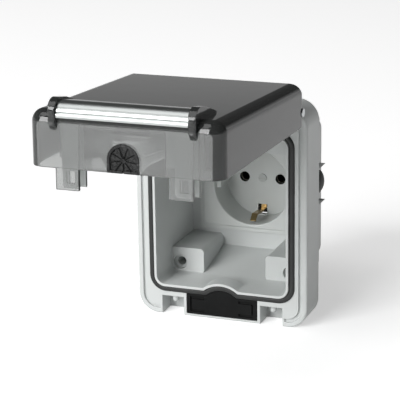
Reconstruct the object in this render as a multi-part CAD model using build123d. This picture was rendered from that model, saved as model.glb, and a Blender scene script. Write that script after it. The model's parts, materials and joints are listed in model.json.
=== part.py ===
from build123d import *
import os

# A flush-mounted weatherproof socket: a grey moulded housing with a deep recess that takes the
# plug, a two-pin socket with side earth clips on the recess's back wall, a rubber seal round the
# mouth, and a smoked lid that is hinged at the top and shown standing open.
# Millimetres. X is to the right, Z is up, and -Y is towards the user. The plane Y = 0 is the
# back of the flange, which lies on the wall. The origin is the flange's centre in that plane.

# Flange
flange_width = 86.0
flange_height = 108.0
flange_depth = 19.0
flange_corner = 10.0
flange_skirt = 2.5
flange_plate = 5.0
flange_edge_round = 1.0
rim_width = 2.5
groove_width = 1.75
groove_depth = 1.2
groove_end_margin = 1.0
rib_thickness = 1.8
rib_spread_z = 20.0
rib_spread_x = 14.0
foot_block_depth = 14.0

# Seal channel and the lip inside it
seal_inner_width = 68.2
seal_inner_height = 79.0
seal_width = 2.7
seal_corner = 5.4
seal_seat = 3.0
seal_proud = 1.0
lip_thickness = 1.3
lip_proud = 1.5
arch_rise = 3.0
arch_chord = 18.0
arch_depth = 9.0

# Recess
recess_depth = 47.9
recess_straight = 17.0
recess_wall = 2.2
recess_back_wall = 3.2
recess_back_width = 64.7
recess_back_foot = 31.8
recess_back_top = 36.0
recess_back_corner = 4.0

# Fixing bosses in the recess's corners
fixing_pitch_x = 57.0
fixing_pitch_z = 67.0
fixing_hole = 4.3
fixing_sink = 7.0
fixing_sink_depth = 2.5
boss_width = 17.7
boss_height = 12.9
boss_sink = 1.25
boss_frame_gap = 1.6
boss_front_y = 0.0
boss_round = 2.2

# Lid catches: a notch at each side of the cable pad
notch_centre_x = 25.15
notch_width = 11.1
notch_height = 9.4
notch_depth = 11.0
nub_radius = 1.6
nub_reach = 4.0
nub_setback = 4.2

# Cable pad below the mouth
pad_width = 36.0
pad_foot = 1.5
pad_depth = 8.0
pad_proud = 0.2
pad_cross_width = 17.4
pad_band_width = 30.8
pad_relief = 0.9
pad_slot = 1.3

# Side teeth and cable grommets on the rear box
tooth_reach = 9.0
tooth_sink = 0.95
tooth_height = 9.6
tooth_thickness = 3.0
tooth_y = 10.5
tooth_top_z = 20.1
tooth_pitch = 17.9
entry_y = 20.5
entry_z = 8.0
entry_bore = 9.0
entry_collar = 13.0
entry_collar_rise = 1.65
grommet_dome = 3.0
grommet_flange = 11.4
grommet_brim = 0.8
grommet_stem = 2.6

# Socket
socket_z = 0.5
cup_radius = 19.75
cup_wall = 1.5
cup_depth = 17.5
cup_floor = 2.0
cup_rim_round = 0.7
face_margin_x = 4.45
face_margin_z = 0.45
face_proud = 2.4
frame_border = 1.9
frame_proud = 1.6
pin_pitch = 19.0
pin_hole = 5.2
guide_width = 5.2
guide_reach = 2.4
guide_setback = 3.0
earth_window_width = 4.9
earth_window_inner = 13.9
earth_window_outer = 19.0
earth_strip_width = 3.0
earth_strip = 0.8
earth_crown_y = 5.0
earth_crown_lift = 4.2
earth_eye = 6.4
centre_head = 4.2
centre_shank = 3.0
centre_sink = 1.0

# Mechanism behind the socket
base_inset = 0.1
base_height = 38.0
base_depth = 15.0
sleeve_bore = 4.9
sleeve_wall = 0.7
sleeve_length = 10.0
sleeve_setback = 3.0
terminal_head = 4.8
terminal_sink = 2.6
terminal_slot = 0.9
terminal_x = 13.0
terminal_z = 11.0
bracket_margin_x = 4.0
bracket_margin_z = 6.0
bracket_corner = 4.0
bracket_sheet = 1.2
bracket_leg_height = 14.0
bracket_leg_reach = 20.0
bracket_screw_gap = 1.15
bracket_screw_head = 4.8
bracket_screw_shank = 2.8
bracket_screw_grip = 2.4

# Lid, given as it lies when it is shut
lid_gap = 0.3
lid_side_gap = 0.2
lid_top_gap = 0.5
lid_wall = 2.0
lid_rise_top = 20.9
lid_rise_foot = 24.4
lid_foot_corner = 6.5
lid_top_corner = 1.5
lid_edge_round = 5.5
seal_wall = 1.6
cable_window_width = 20.0
cable_window_height = 10.0

# Lid catches
tab_side_gap = 0.4
tab_length = 8.8
tab_plate = 1.8
fork_plate = 1.4
fork_slot = 4.4
fork_slot_length = 12.0
tongue_plate = 1.2
tongue_root_width = 9.0
tongue_tip_width = 6.6
tongue_window_width = 3.8
tongue_window_length = 5.2
tongue_window_margin = 2.2
tongue_engagement = 0.2

# Grip bar and the cheeks at its ends
bar_length = 57.6
bar_sheet = 1.4
bar_skirt_drop = 5.4
bar_skirt_out = 0.7
bar_nose_drop = 3.4
bar_nose_out = 1.5
bar_waist_drop = 0.4
bar_waist_out = 1.3
bar_brow_lift = 2.8
bar_brow_in = 0.6
bar_crest_lift = 4.0
bar_crest_in = 4.8
bar_back_lift = 3.2
bar_back_in = 10.0
flute_count = 4
flute_radius = 0.55
ridge_root_in = 16.0
ridge_heel_in = 8.0
ridge_depth = 1.2
cheek_gap = 0.2
cheek_thickness = 3.4
cheek_round = 1.2
cheek_proud = 1.0
cheek_foot_drop = 7.4
cheek_toe_drop = 5.2
cheek_chin_out = 2.6
cheek_tail_in = 22.0
cheek_tail_lift = 0.9

# Cable membrane in the lid's foot wall
membrane_width = 14.2
membrane_height = 12.4
membrane_web = 1.2
membrane_bead = 1.2
slit_width = 0.5
slit_count = 9
carrier_width = 35.6
carrier_height = 18.0
carrier_plate = 1.4

# Hinge
hinge_forward = 7.0
hinge_drop = 0.5
knuckle_radius = 3.0
pin_radius = 1.5
pin_play = 0.05
pin_head_radius = 2.0
pin_head = 1.0
knuckle_length = 6.4
knuckle_gap = 0.4
knuckle_margin = 0.6
ear_length = 7.6
ear_root_drop = 7.0
ear_window_gap = 0.5
open_angle = 91.5

fit_gap = 0.1
overrun = 0.5

# Places worked out from the sizes above
front_y = -flange_depth
back_y = front_y + recess_depth
rear_y = back_y + recess_back_wall
foot_z = -flange_height / 2
seal_outer_foot = -seal_inner_height / 2 - seal_width
mouth_width = seal_inner_width - 2 * lip_thickness
mouth_height = seal_inner_height - 2 * lip_thickness
mouth_corner = seal_corner - lip_thickness
face_front_y = back_y - face_proud
cup_floor_y = face_front_y + cup_depth
cup_back_y = cup_floor_y + cup_floor
cup_outer = cup_radius + cup_wall
notch_roof_z = foot_z + notch_height
lid_rim_y = front_y - lid_gap
lid_top_z = flange_height / 2 - lid_top_gap
hinge_z = flange_height / 2 - hinge_drop
lid_foot_z = foot_z + lid_side_gap
lid_width = flange_width - 2 * lid_side_gap
hinge_y = front_y - hinge_forward
knuckle_outer_x = lid_width / 2 - knuckle_margin
knuckle_inner_x = knuckle_outer_x - knuckle_length
ear_outer_x = knuckle_inner_x - knuckle_gap
ear_inner_x = ear_outer_x - ear_length
pad_foot_z = foot_z + pad_foot
fork_top_z = notch_roof_z - tab_side_gap
tongue_top_z = notch_roof_z - nub_reach + tongue_engagement
face_width = 2 * (cup_outer + face_margin_x)
face_height = 2 * (cup_outer + face_margin_z)
boss_inner_z = socket_z + face_height / 2 + frame_border + boss_frame_gap
boss_outer_z = boss_inner_z + boss_height
boss_outer_x = recess_back_width / 2 + boss_sink
boss_inner_x = boss_outer_x - boss_width
box_side_x = recess_back_width / 2 + recess_wall
tooth_root_x = box_side_x - tooth_sink
tooth_tip_x = tooth_root_x + tooth_reach
entry_collar_x = box_side_x + entry_collar_rise
base_width = 2 * (cup_outer - base_inset)
leg_inner_x = base_width / 2 + fit_gap
bracket_screw_x = (
    leg_inner_x + bracket_sheet + bracket_screw_head / 2 + bracket_screw_gap
)
bracket_width = 2 * (bracket_screw_x + bracket_margin_x)
bracket_height = base_height + 2 * bracket_margin_z
lid_slope = (lid_rise_foot - lid_rise_top) / (lid_top_z - lid_foot_z)


def facing(y):
    """A plane square to Y, seen from the front: its x is X and its y is Z."""
    return Plane(origin=(0, y, 0), x_dir=(1, 0, 0), z_dir=(0, -1, 0))


def prism(outline, y_front, y_back):
    """An outline in X and Z, made solid between two planes square to Y."""
    return extrude(facing(y_back) * outline, amount=y_back - y_front, dir=(0, -1, 0))


def slab(x0, x1, y0, y1, z0, z1):
    """A block between two corners."""
    middle = Pos((x0 + x1) / 2, (y0 + y1) / 2, (z0 + z1) / 2)
    return middle * Box(x1 - x0, y1 - y0, z1 - z0)


def rod(radius, x, z, y_front, y_back):
    """A round bar along Y."""
    return prism(Pos(x, z) * Circle(radius), y_front, y_back)


def ribbon(outline, x0, x1):
    """An outline in Y and Z, made solid between two planes square to X."""
    return Pos(x0, 0, 0) * extrude(Plane.YZ * outline, amount=x1 - x0, dir=(1, 0, 0))


def both_sides(solid):
    """A solid and its mirror image in the middle plane."""
    return solid + mirror(solid, about=Plane.YZ)


def mouth_outline(offset):
    """The recess's mouth, grown by an offset: a rounded oblong with an arch in its foot."""
    box = RectangleRounded(
        mouth_width + 2 * offset, mouth_height + 2 * offset, mouth_corner + offset
    )
    arch_radius = (arch_chord**2 / 4 + arch_rise**2) / (2 * arch_rise)
    arch_centre = -mouth_height / 2 + arch_rise - arch_radius
    return box - Pos(0, arch_centre) * Circle(arch_radius - offset)


def recess_outline(y, offset):
    """The recess's section at a depth, grown by an offset."""
    if y < back_y:
        return facing(y) * RectangleRounded(
            mouth_width + 2 * offset, mouth_height + 2 * offset, mouth_corner + offset
        )
    height = recess_back_top + recess_back_foot + 2 * offset
    centre = (recess_back_top - recess_back_foot) / 2
    section = RectangleRounded(recess_back_width + 2 * offset, height, recess_back_corner + offset)
    return facing(y) * Pos(0, centre) * section


def make_housing():
    """The moulded housing: flange, recess, bosses, notches, hinge ears and rear details."""
    slope_y = front_y + recess_straight
    plate_y = front_y + flange_plate
    body = prism(RectangleRounded(flange_width, flange_height, flange_corner), front_y, 0)
    body = fillet(body.faces().sort_by(Axis.Y)[0].edges(), flange_edge_round)
    inner = RectangleRounded(
        flange_width - 2 * flange_skirt,
        flange_height - 2 * flange_skirt,
        flange_corner - flange_skirt,
    )
    body -= prism(inner, plate_y, overrun)

    # Behind the front plate: the block that holds the notches and the pad, then the ribs
    ribs_back_y = -seal_seat - fit_gap
    block_half = notch_centre_x + notch_width / 2 + flange_skirt
    body += slab(-block_half, block_half, front_y + 1, front_y + foot_block_depth,
                 foot_z + 1, seal_outer_foot)
    for z in (-rib_spread_z, rib_spread_z):
        body += slab(-flange_width / 2 + 1, flange_width / 2 - 1, plate_y - 1, ribs_back_y,
                     z - rib_thickness / 2, z + rib_thickness / 2)
    for x in (-rib_spread_x, rib_spread_x):
        body += slab(x - rib_thickness / 2, x + rib_thickness / 2, plate_y - 1, ribs_back_y,
                     0, flange_height / 2 - 1)

    # The recess's walls and the lip round its mouth
    wall_front = mouth_width + 2 * recess_wall
    wall_high = mouth_height + 2 * recess_wall
    straight = RectangleRounded(wall_front, wall_high, mouth_corner + recess_wall)
    body += prism(straight, plate_y - 1, slope_y)
    body += loft([recess_outline(slope_y, recess_wall), recess_outline(rear_y, recess_wall)])
    body += prism(mouth_outline(lip_thickness), front_y - lip_proud, front_y + 1)

    # Bosses run from the flange's back plane to the back wall
    boss = Pos((boss_inner_x + boss_outer_x) / 2, (boss_inner_z + boss_outer_z) / 2)
    boss *= RectangleRounded(boss_outer_x - boss_inner_x, boss_outer_z - boss_inner_z, boss_round)
    boss_solid = both_sides(prism(boss, boss_front_y, rear_y))
    boss_solid += mirror(boss_solid, about=Plane.XY)

    recess = prism(mouth_outline(0), front_y - lip_proud - 1, front_y + arch_depth)
    recess += prism(
        RectangleRounded(mouth_width, mouth_height, mouth_corner),
        front_y + arch_depth,
        slope_y,
    )
    recess += loft([recess_outline(slope_y, 0), recess_outline(back_y, 0)])
    body -= recess
    body += boss_solid

    # The seal's channel, the rim's groove and the pad's pocket
    channel = mouth_outline(lip_thickness + seal_width) - mouth_outline(lip_thickness)
    body -= prism(channel, front_y - 1, front_y + seal_seat)
    groove_outer = RectangleRounded(
        flange_width - 2 * rim_width, flange_height - 2 * rim_width, flange_corner - rim_width
    )
    inset = rim_width + groove_width
    groove_inner = RectangleRounded(
        flange_width - 2 * inset, flange_height - 2 * inset, flange_corner - inset
    )
    groove_gap = 2 * notch_centre_x + notch_width + 2 * groove_end_margin
    groove = groove_outer - groove_inner - Rectangle(groove_gap, 2 * flange_height)
    body -= prism(groove, front_y - 1, front_y + groove_depth)
    body -= prism(pad_outline(fit_gap), front_y - 1, front_y + pad_depth)

    # A notch and its nub for each lid catch
    notch_x0 = notch_centre_x - notch_width / 2
    notch_x1 = notch_centre_x + notch_width / 2
    body -= both_sides(slab(notch_x0, notch_x1, front_y - 1, front_y + notch_depth,
                            foot_z - 1, notch_roof_z))
    body += both_sides(make_nub())

    # Hinge ears, teeth, cable entries
    body += both_sides(make_ear())
    body += both_sides(make_teeth())
    collar = Pos(tooth_root_x, entry_y, entry_z) * Rot(Y=90)
    body += both_sides(collar * extrude(Circle(entry_collar / 2), entry_collar_x - tooth_root_x))
    entry = Pos(mouth_width / 2 - 3, entry_y, entry_z) * Rot(Y=90)
    body -= both_sides(entry * extrude(Circle(entry_bore / 2), 8))

    # Holes for the fixing screws, the cup and the bracket's screws
    for x in (-fixing_pitch_x / 2, fixing_pitch_x / 2):
        for z in (-fixing_pitch_z / 2, fixing_pitch_z / 2):
            body -= rod(fixing_hole / 2, x, z, boss_front_y - 1, rear_y + 1)
            body -= rod(fixing_sink / 2, x, z, boss_front_y - 1, boss_front_y + fixing_sink_depth)
    body -= rod(cup_outer + fit_gap, 0, socket_z, back_y - 1, rear_y + 1)
    for x in (-bracket_screw_x, bracket_screw_x):
        body -= rod(bracket_screw_shank / 2, x, socket_z, rear_y - bracket_screw_grip, rear_y + 1)
    return body


def make_nub():
    """The nub under a notch's roof that a lid tongue catches on."""
    x = notch_centre_x
    y = front_y + nub_setback
    stem = nub_reach - nub_radius
    shaft = Pos(x, y, notch_roof_z - stem / 2 + overrun / 2) * Cylinder(nub_radius, stem + overrun)
    return shaft + Pos(x, y, notch_roof_z - stem) * Sphere(nub_radius)


def make_ear():
    """A hinge ear on the front of the flange, bored for the pin."""
    root_y = front_y + flange_plate / 2
    ring = Pos(hinge_y, hinge_z) * Circle(knuckle_radius)
    root_low = (root_y, hinge_z - ear_root_drop)
    root_high = (root_y, flange_height / 2 - flange_edge_round)
    root = Line(root_low, root_high)
    outline = make_hull([*ring.edges(), *root.edges()])
    ear = ribbon(outline, ear_inner_x, ear_outer_x)
    bore = Pos(hinge_y, hinge_z) * Circle(pin_radius + pin_play)
    return ear - ribbon(bore, ear_inner_x - 1, ear_outer_x + 1)


def make_teeth():
    """Two wedge teeth on a side of the rear box, which hold it behind a panel."""
    teeth = None
    for top in (tooth_top_z, tooth_top_z - tooth_pitch):
        wedge = Polygon(
            (tooth_root_x, top), (tooth_tip_x, top), (tooth_root_x, top - tooth_height), align=None
        )
        tooth = prism(wedge, tooth_y - tooth_thickness / 2, tooth_y + tooth_thickness / 2)
        teeth = tooth if teeth is None else teeth + tooth
    return teeth


def make_lid_seal():
    """The rubber seal in the channel round the mouth."""
    outer = mouth_outline(lip_thickness + seal_width - fit_gap)
    inner = mouth_outline(lip_thickness + fit_gap)
    return prism(outer - inner, front_y - seal_proud, front_y + seal_seat)


def make_wall_seal():
    """The foam seal between the skirt and the recess, flush with the flange's back."""
    outer = RectangleRounded(
        flange_width - 2 * flange_skirt - 2 * fit_gap,
        flange_height - 2 * flange_skirt - 2 * fit_gap,
        flange_corner - flange_skirt - fit_gap,
    )
    inset = recess_wall + fit_gap
    inner = RectangleRounded(
        mouth_width + 2 * inset, mouth_height + 2 * inset, mouth_corner + inset
    )
    return prism(outer - inner, -seal_seat, 0)


def pad_outline(offset):
    """The cable pad's face: an oblong with an arched top that the seal passes over."""
    arch_radius = (arch_chord**2 / 4 + arch_rise**2) / (2 * arch_rise)
    arch_centre = -mouth_height / 2 + arch_rise - arch_radius
    arch = Pos(0, arch_centre) * Circle(arch_radius - lip_thickness - seal_width + offset)
    low = pad_foot_z - offset
    width = pad_width + 2 * offset
    top = seal_outer_foot
    oblong = Pos(0, (low + top) / 2) * Rectangle(width, top - low)
    above = Pos(0, (low + top) / 2 + arch_rise) * Rectangle(width, top - low)
    return oblong + (arch & (above + oblong))


def make_cable_pad():
    """The rubber pad that a cable lies on when the lid is shut."""
    outline = pad_outline(-fit_gap)
    front = front_y - pad_proud
    pad = prism(outline, front, front_y + pad_depth)
    middle = (pad_foot_z + seal_outer_foot) / 2
    band_height = seal_outer_foot - pad_foot_z - 4 * pad_slot
    cross = Pos(0, middle) * RectangleRounded(pad_band_width, band_height, pad_slot / 2)
    cross += Rectangle(pad_cross_width, 3 * flange_height)
    frame = Rectangle(pad_width - 2 * pad_slot, 3 * flange_height)
    inner_height = seal_outer_foot - pad_foot_z - 2 * pad_slot
    ditch = Pos(0, middle) * Rectangle(pad_band_width + pad_slot, inner_height)
    pad -= prism((ditch & frame) - cross, front - 1, front + pad_relief)
    return pad


def make_grommet():
    """A domed rubber grommet in a side cable entry."""
    stem = entry_bore / 2 - fit_gap
    brim = grommet_flange / 2
    rise = grommet_dome - grommet_brim
    ball = (brim**2 + rise**2) / (2 * rise)
    plug = Pos(0, 0, -grommet_stem / 2) * Cylinder(stem, grommet_stem)
    plug += Pos(0, 0, grommet_brim / 2) * Cylinder(brim, grommet_brim)
    above = Pos(0, 0, grommet_brim + ball) * Box(2 * brim, 2 * brim, 2 * ball)
    plug += (Pos(0, 0, grommet_dome - ball) * Sphere(ball)) & above
    return Pos(entry_collar_x, entry_y, entry_z) * Rot(Y=90) * plug


def make_socket_face():
    """The socket's moulded face: a plate with the round cup that takes the plug."""
    plate = Pos(0, socket_z) * RectangleRounded(face_width, face_height, 1.5)
    face = prism(plate, face_front_y, back_y)
    face += rod(cup_outer, 0, socket_z, face_front_y, cup_back_y)
    face = face - rod(cup_radius, 0, socket_z, face_front_y - 1, cup_floor_y)
    rim = face.edges().filter_by(GeomType.CIRCLE).filter_by(
        lambda edge: abs(edge.center().Y - face_front_y) < 0.01
    )
    face = fillet(rim, cup_rim_round)

    guide = slab(cup_radius - guide_reach, cup_outer - 0.3, face_front_y + guide_setback,
                 cup_floor_y + 0.5, socket_z - guide_width / 2, socket_z + guide_width / 2)
    face += both_sides(guide)
    for x in (-pin_pitch / 2, pin_pitch / 2):
        face -= rod(pin_hole / 2, x, socket_z, cup_floor_y - 1, cup_back_y + 1)
    face -= rod(centre_shank / 2 + fit_gap, 0, socket_z, cup_floor_y - 1, cup_back_y + 1)
    face -= rod(centre_head / 2 + fit_gap, 0, socket_z, cup_floor_y - 1, cup_floor_y + centre_sink)
    for way in (-1, 1):
        low, high = sorted((way * earth_window_inner, way * earth_window_outer))
        face -= slab(-earth_window_width / 2, earth_window_width / 2, cup_floor_y - 1,
                     cup_back_y + 1, socket_z + low, socket_z + high)
    return face


def make_socket_frame():
    """The thin frame round the socket's plate."""
    width = face_width + 2 * frame_border
    height = face_height + 2 * frame_border
    ring = RectangleRounded(width, height, 2.0)
    ring -= RectangleRounded(face_width + 2 * fit_gap, face_height + 2 * fit_gap, 1.5)
    return prism(Pos(0, socket_z) * ring, back_y - frame_proud, back_y)


def make_centre_screw():
    """The screw that holds the face to the base, with a slotted head."""
    head_y = cup_floor_y + centre_sink
    top = cup_floor_y - 0.6
    screw = rod(centre_head / 2, 0, socket_z, top, head_y)
    screw += rod(centre_shank / 2, 0, socket_z, head_y - 0.1, cup_back_y + base_depth - 4)
    return screw - slab(-3, 3, top - 1, top + 0.5, socket_z - 0.3, socket_z + 0.3)


def make_earth_clip():
    """The brass earth clip: a strap behind the floor with a sprung finger at each end."""
    strap_y = cup_back_y + earth_strip / 2
    finger_z = (earth_window_inner + earth_window_outer) / 2
    crown_y = face_front_y + earth_crown_y
    crown_z = cup_radius - earth_crown_lift
    finger = Polyline(
        (strap_y, 0), (strap_y, finger_z), (cup_floor_y - 3, finger_z), (crown_y, crown_z),
        (face_front_y + 2, cup_radius - 1.4),
    )
    half = trace(finger, line_width=earth_strip)
    strip = ribbon(half, -earth_strip_width / 2, earth_strip_width / 2)
    strip += mirror(strip, about=Plane.XY)
    strip = Pos(0, 0, socket_z) * strip
    strip += rod(earth_eye / 2, 0, socket_z, cup_back_y, cup_back_y + earth_strip)
    return strip - rod(centre_shank / 2 + fit_gap, 0, socket_z, strap_y - 2, strap_y + 2)


def make_contact(x):
    """A sprung brass sleeve that takes one pin, with the tail that its terminal grips."""
    bore = sleeve_bore / 2
    outer = bore + sleeve_wall
    start = cup_back_y + sleeve_setback
    sleeve = rod(outer, x, socket_z, start, start + sleeve_length)
    sleeve -= rod(bore, x, socket_z, start - 1, start + sleeve_length - 1)
    slit = slab(x - 0.3, x + 0.3, start - 1, start + sleeve_length - 3, socket_z, socket_z + 5)
    return sleeve - slit


def make_socket_base():
    """The insulating base, with pockets for the sleeves, the strap and the terminals."""
    base_y = cup_back_y
    half_x = base_width / 2
    outline = Pos(0, socket_z) * RectangleRounded(base_width, base_height, 2.0)
    base = prism(outline, base_y, base_y + base_depth)
    base -= slab(-earth_strip_width / 2 - fit_gap, earth_strip_width / 2 + fit_gap, base_y - 1,
                 base_y + earth_strip + fit_gap, -half_x, half_x)
    base -= rod(earth_eye / 2 + fit_gap, 0, socket_z, base_y - 1, base_y + earth_strip + fit_gap)
    sleeve = sleeve_bore / 2 + sleeve_wall + fit_gap
    sleeve_end = base_y + sleeve_setback + sleeve_length + fit_gap
    for x in (-pin_pitch / 2, pin_pitch / 2):
        base -= rod(sleeve, x, socket_z, base_y - 1, sleeve_end)
    base -= rod(centre_shank / 2 + fit_gap, 0, socket_z, base_y - 1, base_y + base_depth - 3.5)
    rear = base_y + base_depth
    for x, z in terminal_places():
        base -= rod(terminal_head / 2 + fit_gap, x, z, rear - terminal_sink, rear + 1)
    return base


def terminal_places():
    """Where the terminal screws stand: two at each side of the base."""
    return [
        (x, socket_z + z) for x in (-terminal_x, terminal_x) for z in (-terminal_z, terminal_z)
    ]


def make_terminal_screws():
    """The slotted terminal screws, as one group."""
    rear = cup_back_y + base_depth
    screws = None
    for x, z in terminal_places():
        screw = rod(terminal_head / 2, x, z, rear - terminal_sink, rear - 0.6)
        screw -= slab(x - 4, x + 4, rear - 1.2, rear, z - terminal_slot / 2, z + terminal_slot / 2)
        screws = screw if screws is None else screws + screw
    return screws


def make_bracket():
    """The steel bracket behind the back wall, with two legs that hold the base."""
    sheet = RectangleRounded(bracket_width, bracket_height, bracket_corner)
    bracket = prism(Pos(0, socket_z) * sheet, rear_y, rear_y + bracket_sheet)
    bracket -= rod(cup_outer + fit_gap, 0, socket_z, rear_y - 1, rear_y + bracket_sheet + 1)
    leg = slab(leg_inner_x, leg_inner_x + bracket_sheet, rear_y, rear_y + bracket_leg_reach,
               socket_z - bracket_leg_height / 2, socket_z + bracket_leg_height / 2)
    bracket += both_sides(leg)
    for x in (-bracket_screw_x, bracket_screw_x):
        bracket -= rod(bracket_screw_shank / 2 + fit_gap, x, socket_z, rear_y - 1, rear_y + 3)
    return bracket


def make_bracket_screws():
    """The two screws that hold the bracket to the back wall, as one group."""
    seat = rear_y + bracket_sheet
    screws = None
    for x in (-bracket_screw_x, bracket_screw_x):
        screw = rod(bracket_screw_head / 2, x, socket_z, seat, seat + 1.6)
        screw += rod(bracket_screw_shank / 2 - pin_play, x, socket_z,
                     rear_y - bracket_screw_grip + fit_gap, seat + 0.5)
        screw -= slab(x - 3, x + 3, seat + 0.9, seat + 2, socket_z - 0.4, socket_z + 0.4)
        screws = screw if screws is None else screws + screw
    return screws


def at_lid_edge(u, v):
    """A point in Y and Z at the lid's foot: u behind its foot wall, v above the flange."""
    return (front_y - v, lid_foot_z + u)


def lid_block(inset):
    """The lid's outer form, shrunk by an inset: a wedge with rounded corners and edges."""
    half = lid_width / 2 - inset
    low = lid_foot_z + inset
    high = lid_top_z - inset
    rim = lid_rim_y + (overrun if inset else 0)
    wedge = Polygon(
        (rim, low),
        (front_y - lid_rise_foot + inset + lid_slope * inset, low),
        (front_y - lid_rise_top + inset - lid_slope * inset, high),
        (rim, high),
        align=None,
    )
    block = ribbon(wedge, -half, half)
    uprights = block.edges().filter_by(Axis.Y)
    block = fillet(uprights.group_by(Axis.Z)[0], lid_foot_corner - inset)
    if inset < lid_top_corner:
        uprights = block.edges().filter_by(Axis.Y)
        block = fillet(uprights.group_by(Axis.Z)[-1], lid_top_corner - inset)
    front = block.faces().sort_by(Axis.Y)[0]
    return fillet(front.edges(), lid_edge_round - inset)


def make_lid_shell():
    """The smoked lid as one moulding: shell, sealing wall, catches, ridge, cheeks, knuckles."""
    solid = lid_block(0)
    hollow = lid_block(lid_wall)
    shell = solid - hollow

    # The inner wall that presses on the seal, with a window for the cable
    centre = lip_thickness + seal_width / 2
    ring = mouth_outline(centre + seal_wall / 2) - mouth_outline(centre - seal_wall / 2)
    deepest = front_y - lid_rise_foot
    wall = prism(ring, deepest, front_y - seal_proud - lid_gap)
    window_top = front_y - seal_proud - cable_window_height
    wall -= slab(-cable_window_width / 2, cable_window_width / 2, window_top, front_y,
                 foot_z, 0)
    shell += wall & solid
    shell += both_sides(make_catch(solid))
    shell += ribbon(ridge_outline(), -bar_length / 2 - cheek_gap, bar_length / 2 + cheek_gap)
    shell += both_sides(make_cheek())
    shell += both_sides(make_knuckle())

    # Clearance for the housing's hinge ears, the pin and the cable membrane
    ear_window = slab(ear_inner_x - ear_window_gap, knuckle_inner_x, hinge_y - knuckle_radius - 1,
                      front_y + 1, hinge_z - ear_root_drop - 4, hinge_z + 5)
    shell -= both_sides(ear_window)
    bore = Pos(hinge_y, hinge_z) * Circle(pin_radius + pin_play)
    shell -= both_sides(ribbon(bore, knuckle_inner_x - 1, lid_width / 2 + 5))
    head = Pos(hinge_y, hinge_z) * Circle(pin_head_radius + fit_gap)
    shell -= both_sides(ribbon(head, knuckle_outer_x, lid_width / 2 + 5))
    shell -= membrane_block(0, lid_foot_z - 1, lid_foot_z + lid_wall + 1)
    return shell


def make_catch(solid):
    """A lid catch: a cover tab, a forked plate behind it and a windowed tongue between."""
    x0 = notch_centre_x - notch_width / 2 + tab_side_gap
    x1 = notch_centre_x + notch_width / 2 - tab_side_gap
    tip_y = front_y + tab_length
    inside_y = lid_rim_y - 4
    tab = slab(x0, x1, inside_y, tip_y, lid_foot_z, lid_foot_z + tab_plate)
    root_y = front_y - lid_rise_foot
    fork = slab(x0, x1, root_y, tip_y, fork_top_z - fork_plate, fork_top_z)
    fork -= slab(notch_centre_x - fork_slot / 2, notch_centre_x + fork_slot / 2,
                 tip_y - fork_slot_length, tip_y + 1, fork_top_z - 3, fork_top_z + 3)
    half_root = tongue_root_width / 2
    half_tip = tongue_tip_width / 2
    plan = Polygon(
        (notch_centre_x - half_root, root_y), (notch_centre_x + half_root, root_y),
        (notch_centre_x + half_tip, tip_y), (notch_centre_x - half_tip, tip_y),
        align=None,
    )
    tongue = extrude(plan, amount=tongue_plate, dir=(0, 0, 1))
    tongue = Pos(0, 0, tongue_top_z - tongue_plate) * tongue
    window_y = tip_y - tongue_window_margin
    tongue -= slab(notch_centre_x - tongue_window_width / 2,
                   notch_centre_x + tongue_window_width / 2,
                   window_y - tongue_window_length, window_y, tongue_top_z - 3, tongue_top_z + 3)
    below = slab(x0 - 1, x1 + 1, lid_rim_y - 1, tip_y + 1, foot_z, 0)
    arms = fork + tongue
    return tab + (arms & solid) + (arms & below)


def bar_curve(inset):
    """The grip bar's outer curve, or the curve that lies an inset inside it."""
    slant = inset * 0.71
    start = (-bar_skirt_out + inset / 3, lid_rise_foot - bar_skirt_drop + inset * 0.6)
    lower = (-bar_nose_out + inset, lid_rise_foot - bar_nose_drop)
    waist = (-bar_waist_out + inset, lid_rise_foot - bar_waist_drop - inset / 2)
    upper = (bar_brow_in + slant, lid_rise_foot + bar_brow_lift - slant)
    crest = (bar_crest_in, lid_rise_foot + bar_crest_lift - inset)
    back = (bar_back_in, lid_rise_foot + bar_back_lift - inset)
    places = [at_lid_edge(*point) for point in (start, lower, waist, upper, crest, back)]
    nose = ThreePointArc(places[0], places[1], places[2])
    brow = ThreePointArc(places[2], places[3], places[4])
    return nose, brow, Line(places[4], places[5])


def in_lid_wall(angle):
    """A point in the lid's rounded foot edge, a set depth in, at an angle above level."""
    radius = lid_edge_round - ridge_depth
    bend = Rot(Z=angle) * Pos(radius, 0)
    reach = bend.position
    return at_lid_edge(lid_edge_round - reach.X, lid_rise_foot - lid_edge_round + reach.Y)


def ridge_outline():
    """The lid's ridge below the grip bar, sunk into the lid's corner."""
    nose, brow, top = bar_curve(bar_sheet)
    root = at_lid_edge(ridge_root_in, lid_rise_foot - ridge_depth - lid_slope * ridge_root_in)
    heel = at_lid_edge(ridge_heel_in, lid_rise_foot - ridge_depth - lid_slope * ridge_heel_in)
    points = [top @ 1, root, heel, in_lid_wall(60), in_lid_wall(30), in_lid_wall(0), nose @ 0]
    return make_face([nose, brow, top, Polyline(*points)])


def make_grip_bar():
    """The extruded aluminium grip bar, curved over the ridge and fluted along its length."""
    nose, brow, top = bar_curve(0)
    inner_nose, inner_brow, inner_top = bar_curve(bar_sheet)
    outline = make_face([
        nose, brow, top, Line(top @ 1, inner_top @ 1), inner_top, inner_brow, inner_nose,
        Line(inner_nose @ 0, nose @ 0),
    ])
    bar = ribbon(outline, -bar_length / 2, bar_length / 2)
    path = Wire([nose.edge(), brow.edge()])
    for index in range(flute_count):
        place = path @ ((index + 1.0) / (flute_count + 0.6))
        flute = Pos(place.X, place.Y) * Circle(flute_radius)
        bar -= ribbon(flute, -bar_length / 2 - 1, bar_length / 2 + 1)
    return bar


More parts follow.
